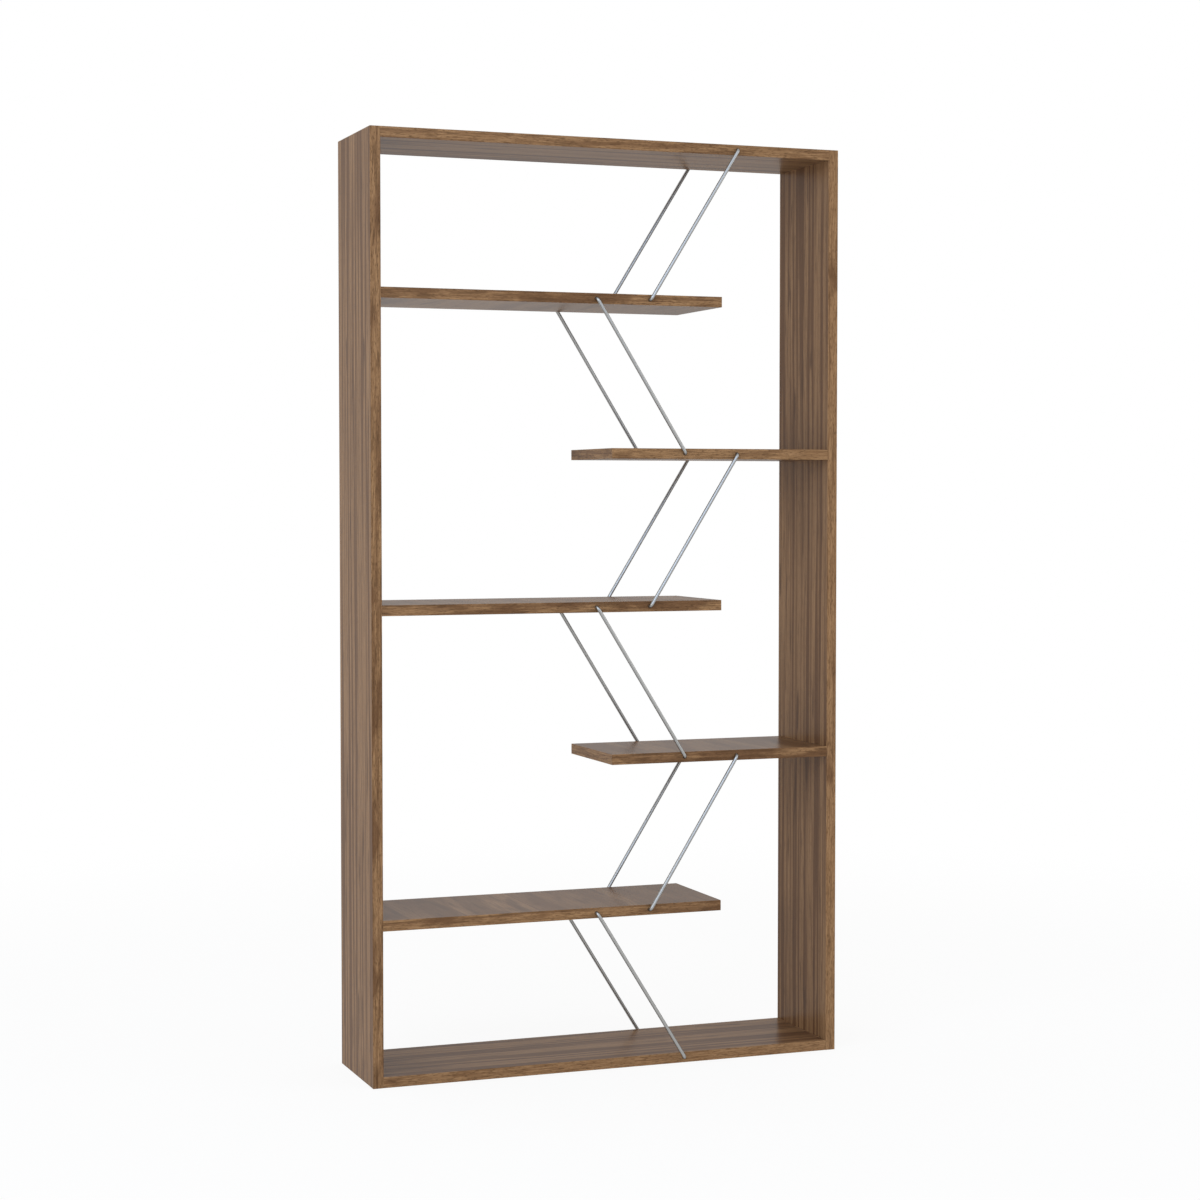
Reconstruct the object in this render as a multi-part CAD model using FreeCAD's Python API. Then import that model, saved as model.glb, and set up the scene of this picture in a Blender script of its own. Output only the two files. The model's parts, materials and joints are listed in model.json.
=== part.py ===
import FreeCAD, Part
import math
import os

# Zigzag bookshelf: a tall open frame of four boards. Long shelves fixed at the left and short shelves fixed
# at the right alternate up the frame, and bent steel rods in front and behind tie each board to the next.
# Axes: +X right, +Y to the rear, +Z up. The origin is on the floor under the middle. Sizes are millimetres.

# Frame
frame_width = 850.0
frame_height = 1592.0
frame_depth = 204.0
board_thickness = 18.0

# Shelves, counted from the top: odd ones are long and fixed at the left, even ones short and at the right
shelf_count = 5
long_shelf_length = 610.5
short_shelf_length = 407.0

# Edge bands, glued to every edge that shows
band_thickness = 0.8
band_rounding = 0.5
band_rounding_limit_share = 0.8

# Bent rods: the straight run stands off the board edges by the bend
rod_diameter = 6.0
rod_inner_bend = 2.8
rod_leg_depth = 20.0
rod_hole_clearance = 0.1
rod_hole_spare_depth = 1.0

# Rod holes in the board edges, measured from the free end of a shelf
near_hole_inset = 134.4
rod_hole_pitch = 97.8

# Places of the joint fittings across the depth of a board
cam_edge_inset = 37.0
cam_to_dowel_pitch = 32.0

# Cam bolts, screwed into the side panel
bolt_thread_diameter = 6.0
bolt_thread_length = 11.0
bolt_tip_taper = 1.0
bolt_collar_diameter = 7.6
bolt_collar_thickness = 1.2
bolt_shank_diameter = 6.0
bolt_neck_diameter = 4.6
bolt_head_lip = 1.2
bolt_head_length = 3.0
bolt_head_chamfer = 0.6
bolt_hole_spare_depth = 1.0

# Cam discs, let into the board face that is turned away from the eye
cam_diameter = 14.8
cam_end_distance = 34.0
cam_depth_below_bolt = 4.9
cam_recess = 0.4
cam_rim_chamfer = 0.5
cam_chamber_margin = 1.5
cam_neck_clearance = 0.3
cam_head_clearance = 0.3
cam_seat_clearance = 0.1
cam_lock_turn = 190.0
cam_cross_length = 9.0
cam_cross_width = 1.8
cam_cross_depth = 2.5

# Wooden dowels
dowel_diameter = 8.0
dowel_length = 30.0
dowel_depth_in_side = 11.0
dowel_chamfer = 1.0
dowel_hole_spare_depth = 1.0

# Radial room of every fastener in its hole, and how far cutters reach past a face
fastener_clearance = 0.1
cut_overrun = 1.0

# Sizes that follow
half_depth = frame_depth / 2
half_board = board_thickness / 2
core_depth = (band_thickness - half_depth, half_depth - band_thickness)
left_inner_face = -frame_width / 2 + board_thickness
right_inner_face = frame_width / 2 - board_thickness
gap_count = shelf_count + 1
gap_height = (frame_height - (gap_count + 1) * board_thickness) / gap_count
level_pitch = gap_height + board_thickness
rod_radius = rod_diameter / 2
rod_bend_radius = rod_inner_bend + rod_radius
long_free_end = left_inner_face + long_shelf_length
short_free_end = right_inner_face - short_shelf_length
bolt_head_diameter = bolt_neck_diameter + 2 * bolt_head_lip
cam_radius = cam_diameter / 2
cam_slot_height = bolt_neck_diameter + 2 * cam_neck_clearance
cam_chamber_height = bolt_head_diameter + 2 * cam_head_clearance
cam_chamber_radius = bolt_head_diameter / 2 + cam_chamber_margin
cam_row = half_depth - cam_edge_inset
dowel_row = cam_row - cam_to_dowel_pitch

along_x = FreeCAD.Vector(1, 0, 0)
along_y = FreeCAD.Vector(0, 1, 0)
along_z = FreeCAD.Vector(0, 0, 1)
origin = FreeCAD.Vector(0, 0, 0)
full_turn = 360.0
half_turn = 180.0
quarter_turn = 90.0


def block(x_range, y_range, z_range):
    """A box between the two values of each range."""
    corner = FreeCAD.Vector(x_range[0], y_range[0], z_range[0])
    sides = [high - low for low, high in (x_range, y_range, z_range)]
    return Part.makeBox(*sides, corner)


def cylinder(start, direction, diameter, length):
    """A round bar from a point along a direction."""
    return Part.makeCylinder(diameter / 2, length, start, direction)


def fastener_hole(start, direction, diameter, length):
    """A cutter for the hole of a fastener of a given diameter, with its radial room."""
    return cylinder(start, direction, diameter + 2 * fastener_clearance, length)


def level_middle(level):
    """Height of a board's middle: level 0 is the top panel and the last level is the bottom panel."""
    return frame_height - half_board - level * level_pitch


def is_long(level):
    """Odd levels carry the long shelves, which are fixed at the left."""
    return level % 2 == 1


def rod_place(level, inset):
    """X of a rod hole at a level, measured inwards from the free end that the level's shelf has."""
    if is_long(level):
        return long_free_end - inset
    return short_free_end + inset


def lower_rod_end(level):
    """X where the rod from above enters this level."""
    return rod_place(level, near_hole_inset)


def upper_rod_end(level):
    """X where the rod from below enters this level."""
    return rod_place(level, near_hole_inset + rod_hole_pitch)


def rod_holes(level):
    """Cutters for the rods that enter a board's front and rear edges."""
    places = []
    if level > 0:
        places.append(lower_rod_end(level))
    if level < gap_count:
        places.append(upper_rod_end(level))
    diameter = rod_diameter + 2 * rod_hole_clearance
    length = rod_leg_depth + rod_hole_spare_depth + cut_overrun
    cutters = []
    for x in places:
        for side in (-1, 1):
            start = FreeCAD.Vector(x, side * (half_depth + cut_overrun), level_middle(level))
            cutters.append(cylinder(start, along_y * -side, diameter, length))
    return cutters


def board_span(level):
    """Left and right end of the board at a level."""
    if level in (0, gap_count):
        return left_inner_face, right_inner_face
    if is_long(level):
        return left_inner_face, long_free_end
    return short_free_end, right_inner_face


def fixed_ends(level):
    """The joints at a level, each as the X of the side panel's face and the way from there into the board."""
    left, right = (left_inner_face, 1), (right_inner_face, -1)
    if level in (0, gap_count):
        return [left, right]
    return [left] if is_long(level) else [right]


def free_end(level):
    """X of a shelf's free end and the way that it faces, or None for the top and bottom panels."""
    if level in (0, gap_count):
        return None
    return (long_free_end, 1) if is_long(level) else (short_free_end, -1)


def cams_face_up(level):
    """Boards in the upper half have their cam discs on top, the others underneath."""
    return level < gap_count / 2


def all_joints():
    """Every board joint, as its level, the X of the side panel's face and the way into the board."""
    return [(level, x, way) for level in range(gap_count + 1) for x, way in fixed_ends(level)]


def head_shoulder():
    """Distance from the cam's axis to the shoulder of the bolt's head, which bears on the chamber wall."""
    half_width = math.sqrt((bolt_head_diameter / 2) ** 2 - (cam_slot_height / 2) ** 2)
    return math.sqrt(cam_chamber_radius ** 2 - half_width ** 2) - cam_seat_clearance


def joint_holes_in_board(level):
    """Cutters for the cam discs, bolts and dowels in the fixed ends of a board."""
    middle = level_middle(level)
    up = 1 if cams_face_up(level) else -1
    cam_floor = middle - up * cam_depth_below_bolt
    cam_reach = cam_depth_below_bolt + half_board + cut_overrun
    bolt_reach = cam_end_distance + cut_overrun
    dowel_reach = dowel_length - dowel_depth_in_side + dowel_hole_spare_depth + cut_overrun
    cutters = []
    for face_x, way in fixed_ends(level):
        start_x = face_x - way * cut_overrun
        for side in (-1, 1):
            cam = FreeCAD.Vector(face_x + way * cam_end_distance, side * cam_row, cam_floor)
            bolt = FreeCAD.Vector(start_x, side * cam_row, middle)
            dowel_start = FreeCAD.Vector(start_x, side * dowel_row, middle)
            cutters.append(fastener_hole(cam, along_z * up, cam_diameter, cam_reach))
            cutters.append(fastener_hole(bolt, along_x * way, bolt_collar_diameter, bolt_reach))
            cutters.append(fastener_hole(dowel_start, along_x * way, dowel_diameter, dowel_reach))
    return cutters


def joint_holes_in_side(face_x):
    """Cutters for the bolts and dowels in the inner face of the side panel whose face lies at face_x."""
    bolt_reach = bolt_thread_length + bolt_hole_spare_depth + cut_overrun
    dowel_reach = dowel_depth_in_side + dowel_hole_spare_depth + cut_overrun
    cutters = []
    for level, joint_x, way in all_joints():
        if joint_x != face_x:
            continue
        start_x = joint_x + way * cut_overrun
        for side in (-1, 1):
            bolt = FreeCAD.Vector(start_x, side * cam_row, level_middle(level))
            dowel_start = FreeCAD.Vector(start_x, side * dowel_row, level_middle(level))
            cutters.append(fastener_hole(bolt, along_x * -way, bolt_thread_diameter, bolt_reach))
            cutters.append(fastener_hole(dowel_start, along_x * -way, dowel_diameter, dowel_reach))
    return cutters


def side_span(side):
    """X range of a side panel, where side is -1 at the left and 1 at the right."""
    return sorted((side * (frame_width / 2 - board_thickness), side * frame_width / 2))


def side_panel(side):
    """The board of one side panel, without its edge bands."""
    panel = block(side_span(side), core_depth, (0, frame_height - band_thickness))
    face_x = left_inner_face if side < 0 else right_inner_face
    return panel.cut(joint_holes_in_side(face_x))


def board_heights(level):
    """Z range of the board at a level."""
    return level_middle(level) - half_board, level_middle(level) + half_board


def cross_board(level):
    """A horizontal board, without its edge bands, with the holes of its joints and rods."""
    low, high = board_span(level)
    if free_end(level) and is_long(level):
        high -= band_thickness
    elif free_end(level):
        low += band_thickness
    board = block((low, high), core_depth, board_heights(level))
    return board.cut(joint_holes_in_board(level) + rod_holes(level))


def band(x_range, y_range, z_range, covered):
    """A strip of edge band, rounded along its edges except on faces that point in a covered direction."""
    strip = block(x_range, y_range, z_range)

    def shows(face):
        normal = face.normalAt(0, 0)
        return all(normal.dot(direction) <= 0 for direction in covered)

    rounded = [edge for edge in strip.Edges
               if all(shows(face) for face in strip.ancestorsOfType(edge, Part.Face))]
    return strip.makeFillet(min(band_rounding, band_thickness * band_rounding_limit_share), rounded)


def edge_strip(facing):
    """Y range of a front or rear band, where facing is -1 at the front and 1 at the rear."""
    return sorted((facing * (half_depth - band_thickness), facing * half_depth))


def side_long_band(side, facing):
    """The front or rear band of a side panel, from the floor to the top."""
    covered = [along_y * -facing, along_z * -1]
    return band(side_span(side), edge_strip(facing), (0, frame_height), covered)


def side_top_band(side):
    """The band on a side panel's top end, between its front and rear bands."""
    covered = [along_y, along_y * -1, along_z * -1]
    z_range = (frame_height - band_thickness, frame_height)
    return band(side_span(side), core_depth, z_range, covered)


def board_long_band(level, facing):
    """The front or rear band of a horizontal board, with the rod holes through it."""
    covered = [along_y * -facing] + [along_x * -way for _, way in fixed_ends(level)]
    strip = band(board_span(level), edge_strip(facing), board_heights(level), covered)
    return strip.cut(rod_holes(level))


def shelf_end_band(level):
    """The band on a shelf's free end, between its front and rear bands."""
    x, way = free_end(level)
    covered = [along_y, along_y * -1, along_x * -way]
    return band(sorted((x, x - way * band_thickness)), core_depth, board_heights(level), covered)


def bent_rod(gap, facing):
    """The rod across a gap: a leg into the board above, a slanted run and a leg into the board below."""
    upper = FreeCAD.Vector(upper_rod_end(gap - 1), 0, level_middle(gap - 1))
    lower = FreeCAD.Vector(lower_rod_end(gap), 0, level_middle(gap))
    slant = lower - upper
    down = FreeCAD.Vector(slant).normalize()
    out = along_y * facing
    run_start = upper + out * (half_depth + rod_bend_radius) + down * rod_bend_radius
    run = cylinder(run_start, down, rod_diameter, slant.Length - 2 * rod_bend_radius)
    ends = []
    for hole, along_run in ((upper, down), (lower, -down)):
        edge_point = hole + out * half_depth
        disc = Part.Face(Part.Wire(Part.makeCircle(rod_radius, edge_point, out)))
        leg = disc.extrude(out * -rod_leg_depth)
        bend = disc.revolve(edge_point + along_run * rod_bend_radius, out.cross(along_run), quarter_turn)
        ends += [leg, bend]
    return run.multiFuse(ends).removeSplitter()


def turned(profile):
    """A solid turned about the X axis from (distance along the axis, radius) points."""
    points = [FreeCAD.Vector(along, 0, radius) for along, radius in profile]
    outline = Part.makePolygon(points + points[:1])
    return Part.Face(outline).revolve(origin, along_x, full_turn)


def cam_bolt():
    """A bolt on the X axis: its thread runs to -X from the side panel's face and its head lies in the cam."""
    shank_end = cam_end_distance - cam_radius - cam_head_clearance
    shoulder = cam_end_distance - head_shoulder()
    head_end = shoulder + bolt_head_length
    thread = bolt_thread_diameter / 2
    collar = bolt_collar_diameter / 2
    shank = bolt_shank_diameter / 2
    neck = bolt_neck_diameter / 2
    head = bolt_head_diameter / 2
    return turned([
        (-bolt_thread_length, 0),
        (-bolt_thread_length, thread - bolt_tip_taper),
        (-bolt_thread_length + bolt_tip_taper, thread),
        (0, thread),
        (0, collar),
        (bolt_collar_thickness, collar),
        (bolt_collar_thickness, shank),
        (shank_end, shank),
        (shank_end, neck),
        (shoulder, neck),
        (shoulder, head),
        (head_end - bolt_head_chamfer, head),
        (head_end, head - bolt_head_chamfer),
        (head_end, 0),
    ])


def cam_disc():
    """A cam on the Z axis with its driver face up, hooked on a bolt that comes along the X axis from -X."""
    top = half_board - cam_recess
    body = Part.makeCylinder(cam_radius, cam_depth_below_bolt + top, along_z * -cam_depth_below_bolt)
    rim = [edge for edge in body.Edges if edge.BoundBox.ZMin > top - cam_rim_chamfer]
    body = body.makeChamfer(cam_rim_chamfer, rim)
    chamber = Part.makeCylinder(cam_chamber_radius, cam_chamber_height, along_z * (-cam_chamber_height / 2))
    slot_reach = cam_radius + cut_overrun
    slot_lead = math.degrees(math.asin(cam_chamber_height / 2 / cam_chamber_radius))
    slot_floor = along_z * (-cam_slot_height / 2)
    slot = Part.makeCylinder(slot_reach, cam_slot_height, slot_floor, along_z, cam_lock_turn)
    slot.rotate(origin, along_z, half_turn - slot_lead)
    way_in = cylinder(origin, along_x, cam_chamber_height, slot_reach)
    way_in.rotate(origin, along_z, half_turn - slot_lead + cam_lock_turn)
    cuts = [chamber, slot, way_in]
    for x_size, y_size in ((cam_cross_length, cam_cross_width), (cam_cross_width, cam_cross_length)):
        arm = Part.makeBox(x_size, y_size, cam_cross_depth + cut_overrun)
        arm.translate(FreeCAD.Vector(-x_size / 2, -y_size / 2, top - cam_cross_depth))
        cuts.append(arm)
    return body.cut(cuts)


def dowel():
    """A wooden dowel on the X axis, with its shorter stretch in the side panel at -X."""
    radius = dowel_diameter / 2
    start = -dowel_depth_in_side
    end = dowel_length - dowel_depth_in_side
    return turned([
        (start, 0),
        (start, radius - dowel_chamfer),
        (start + dowel_chamfer, radius),
        (end - dowel_chamfer, radius),
        (end, radius - dowel_chamfer),
        (end, 0),
    ])


def at_joints(fitting, row, along=0, follows_face=False):
    """Copies of a fitting at every joint, front and rear, turned to point into the board."""
    copies = []
    for level, x, way in all_joints():
        for side in (-1, 1):
            copy = fitting.copy()
            if follows_face and not cams_face_up(level):
                copy.rotate(origin, along_x, half_turn)
            if way < 0:
                copy.rotate(origin, along_z, half_turn)
            copy.translate(FreeCAD.Vector(x + way * along, side * row, level_middle(level)))
            copies.append(copy)
    return Part.makeCompound(copies)


def shelf_name(level):
    """The name of the board at a level."""
    if level == 0:
        return "top_panel"
    if level == gap_count:
        return "bottom_panel"
    return f"shelf_{level}_long" if is_long(level) else f"shelf_{level}_short"


def all_parts():
    """Every named piece of the bookshelf."""
    parts = {}
    for side_name, side in (("left", -1), ("right", 1)):
        name = f"{side_name}_side_panel"
        parts[name] = side_panel(side)
        parts[f"{name}_front_band"] = side_long_band(side, -1)
        parts[f"{name}_rear_band"] = side_long_band(side, 1)
        parts[f"{name}_top_band"] = side_top_band(side)
    for level in range(gap_count + 1):
        name = shelf_name(level)
        parts[name] = cross_board(level)
        parts[f"{name}_front_band"] = board_long_band(level, -1)
        parts[f"{name}_rear_band"] = board_long_band(level, 1)
        if free_end(level):
            parts[f"{name}_end_band"] = shelf_end_band(level)
    for gap in range(1, gap_count + 1):
        parts[f"front_rod_{gap}"] = bent_rod(gap, -1)
        parts[f"rear_rod_{gap}"] = bent_rod(gap, 1)
    parts["cam_bolts"] = at_joints(cam_bolt(), cam_row)
    parts["cam_discs"] = at_joints(cam_disc(), cam_row, cam_end_distance, True)
    parts["wooden_dowels"] = at_joints(dowel(), dowel_row)
    return parts


os.makedirs("parts", exist_ok=True)
for part_name, shape in all_parts().items():
    shape.exportStep(f"parts/{part_name}.step")
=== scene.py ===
"""Looks of a zigzag bookshelf: walnut-decor boards in an open frame, tied by bent chrome rods."""

import json
import logging
import math
from dataclasses import dataclass, field, replace
from enum import Enum
from typing import Any, Optional

import bpy
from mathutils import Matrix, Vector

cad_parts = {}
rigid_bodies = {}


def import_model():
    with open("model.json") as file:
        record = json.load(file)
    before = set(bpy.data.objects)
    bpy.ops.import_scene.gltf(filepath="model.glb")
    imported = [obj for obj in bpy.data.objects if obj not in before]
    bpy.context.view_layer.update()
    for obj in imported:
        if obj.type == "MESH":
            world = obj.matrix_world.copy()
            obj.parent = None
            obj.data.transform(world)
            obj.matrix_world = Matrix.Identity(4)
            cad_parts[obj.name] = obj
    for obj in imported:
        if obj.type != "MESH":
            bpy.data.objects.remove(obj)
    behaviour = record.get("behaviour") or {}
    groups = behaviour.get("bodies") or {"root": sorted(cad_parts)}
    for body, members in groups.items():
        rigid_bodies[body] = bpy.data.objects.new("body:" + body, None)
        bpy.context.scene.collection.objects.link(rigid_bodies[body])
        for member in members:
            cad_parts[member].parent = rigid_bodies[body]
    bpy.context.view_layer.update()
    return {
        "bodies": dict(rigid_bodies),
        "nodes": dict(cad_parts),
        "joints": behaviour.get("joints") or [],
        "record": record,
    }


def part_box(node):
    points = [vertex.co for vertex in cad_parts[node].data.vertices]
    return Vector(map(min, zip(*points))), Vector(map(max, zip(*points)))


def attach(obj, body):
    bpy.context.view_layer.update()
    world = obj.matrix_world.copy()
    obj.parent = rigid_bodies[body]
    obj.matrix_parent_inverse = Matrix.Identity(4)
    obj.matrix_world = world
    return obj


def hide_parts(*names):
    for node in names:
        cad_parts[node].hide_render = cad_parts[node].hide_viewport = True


MM = 0.001
BODY = "root"
# The strength at which a background shows as white.
BACKDROP_LIGHT = 1.0
# Places of a Mix node's colour sockets, whose names its number and vector sockets share.
MIX_SHARE, MIX_FIRST, MIX_SECOND, MIX_RESULT = 0, 6, 7, 2

log = logging.getLogger("bookshelf")

Colour = tuple[float, float, float, float]
Point = tuple[float, float, float]
# What feeds an input: an output socket, or a node by its first output.
Feed = bpy.types.Node | bpy.types.NodeSocket


def linear(hex_code: str) -> Colour:
    """Turns an sRGB hex colour into linear light.

    Args:
        hex_code: six hex digits after a hash.

    Returns:
        The linear red, green and blue, and an alpha of one.
    """
    values = [int(hex_code[i:i + 2], 16) / 255 for i in (1, 3, 5)]
    red, green, blue = (
        v / 12.92 if v <= 0.04045 else ((v + 0.055) / 1.055) ** 2.4 for v in values
    )
    return red, green, blue, 1.0


def add_node(
    tree: bpy.types.NodeTree, kind: str, inputs: Optional[dict[Any, Any]] = None, **settings: Any
) -> bpy.types.Node:
    """Adds a node with its settings and links.

    Args:
        tree: the node tree that takes the node.
        kind: the node's type name.
        inputs: input name or index, to a value or to what feeds it.
        settings: the node's own options by name.

    Returns:
        The new node.
    """
    node = tree.nodes.new(kind)
    for option, value in settings.items():
        setattr(node, option, value)
    for key, value in (inputs or {}).items():
        if isinstance(value, bpy.types.Node):
            value = value.outputs[0]
        if isinstance(value, bpy.types.NodeSocket):
            tree.links.new(value, node.inputs[key])
        else:
            node.inputs[key].default_value = value
    return node


def new_material(name: str) -> tuple[bpy.types.Material, bpy.types.NodeTree]:
    """Makes an empty node material.

    Args:
        name: the finish that the material is named for.

    Returns:
        The material and its cleared node tree.
    """
    material = bpy.data.materials.new(name)
    material.use_nodes = True
    material.node_tree.nodes.clear()
    return material, material.node_tree


def dress(piece: bpy.types.Object, material: bpy.types.Material) -> None:
    """Gives every material slot of a piece the same finish.

    Args:
        piece: the object to dress.
        material: the finish.
    """
    if not piece.material_slots:
        piece.data.materials.append(material)
    for slot in piece.material_slots:
        slot.material = material


def new_tree(name: str, inputs: dict[str, str], output: str) -> bpy.types.NodeTree:
    """Makes an empty geometry node tree.

    Args:
        name: the tree's name.
        inputs: the name of each input, to its kind of socket.
        output: the name of the geometry that comes out.

    Returns:
        The tree.
    """
    tree = bpy.data.node_groups.new(name, "GeometryNodeTree")
    for label, kind in inputs.items():
        tree.interface.new_socket(label, in_out="INPUT", socket_type=f"NodeSocket{kind}")
    tree.interface.new_socket(output, in_out="OUTPUT", socket_type="NodeSocketGeometry")
    return tree


def close_tree(
    tree: bpy.types.NodeTree, geometry: bpy.types.Node, finish: bpy.types.NodeSocket
) -> None:
    """Ends a geometry node tree: copies made real, the finish laid on them, and the output.

    Args:
        tree: the tree.
        geometry: the node that makes the shape.
        finish: the material's input.
    """
    real = add_node(tree, "GeometryNodeRealizeInstances", {"Geometry": geometry})
    finished = add_node(tree, "GeometryNodeSetMaterial", {"Geometry": real, "Material": finish})
    add_node(tree, "NodeGroupOutput", {0: finished})


def line_piece(name: str, points: list[Point]) -> bpy.types.Object:
    """Makes an object from a line of points, for a node tree to start from.

    Args:
        name: the object's name.
        points: the points in order, in metres.

    Returns:
        The object, in the scene.
    """
    mesh = bpy.data.meshes.new(name)
    mesh.from_pydata(points, [(i, i + 1) for i in range(len(points) - 1)], [])
    piece = bpy.data.objects.new(name, mesh)
    bpy.context.scene.collection.objects.link(piece)
    return piece


def evaluate(
    piece: bpy.types.Object, tree: bpy.types.NodeTree, sizes: dict[str, Any]
) -> bpy.types.Mesh:
    """Runs a node tree on a piece and takes the result as a plain mesh.

    Args:
        piece: the object whose mesh the tree starts from.
        tree: the geometry node tree.
        sizes: the tree's named inputs, with the material as Finish.

    Returns:
        The finished mesh.
    """
    modifier = piece.modifiers.new(tree.name, "NODES")
    modifier.node_group = tree
    for socket in tree.interface.items_tree:
        if socket.name in sizes:
            modifier[socket.identifier] = sizes[socket.name]
    ready = piece.evaluated_get(bpy.context.evaluated_depsgraph_get())
    mesh = bpy.data.meshes.new_from_object(ready)
    piece.modifiers.clear()
    # Copies of a bare mesh leave an empty slot before the finish's own.
    mesh.materials.clear()
    mesh.materials.append(sizes["Finish"])
    mesh.polygons.foreach_set("material_index", [0] * len(mesh.polygons))
    return mesh


class Grain(Enum):
    """The axis that the wood figure runs along, as the turn in degrees that lays it on X.

    Every turn also lays the normal of the board's faces on Z.
    """

    ALONG_X = (0.0, 0.0, 0.0)
    ALONG_Y = (0.0, 0.0, -90.0)
    ALONG_Z = (0.0, 90.0, 0.0)

    @property
    def turn(self) -> Point:
        """The turn in radians."""
        return tuple(math.radians(angle) for angle in self.value)


@dataclass(frozen=True)
class Sheet:
    """The stretch of the printed decor that a board is cut from.

    It lies slide_mm along the print and across_mm across it, and depth makes its marks spread.
    """

    name: str
    slide_mm: float = 0.0
    depth: float = 0.0
    across_mm: float = 0.0


@dataclass(frozen=True)
class Figure:
    """One layer of marks in the wood figure: their length, width and strength.

    A mark fades in where the noise rises from low to high, and share is its full strength.
    """

    length_mm: float
    width_mm: float
    low: float
    high: float
    share: float
    detail: float = 1.0

    def mask(
        self, tree: bpy.types.NodeTree, grain_frame: Feed, depth: float = 0.0
    ) -> bpy.types.Node:
        """Draws the marks as stretched noise.

        Args:
            tree: the material's node tree.
            grain_frame: coordinates in metres with the grain along X.
            depth: how much further the marks spread than usual.

        Returns:
            A node that gives zero where there is no mark, up to the layer's share.
        """
        along, across = 1 / (self.length_mm * MM), 1 / (self.width_mm * MM)
        placed = add_node(
            tree, "ShaderNodeMapping", {"Vector": grain_frame, "Scale": (along, across, across)}
        )
        noise = add_node(
            tree, "ShaderNodeTexNoise", {"Vector": placed, "Scale": 1.0, "Detail": self.detail}
        )
        return add_node(
            tree,
            "ShaderNodeMapRange",
            {
                "Value": noise,
                "From Min": self.low - depth,
                "From Max": self.high - depth,
                "To Max": self.share,
            },
            interpolation_type="SMOOTHSTEP",
        )


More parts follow.
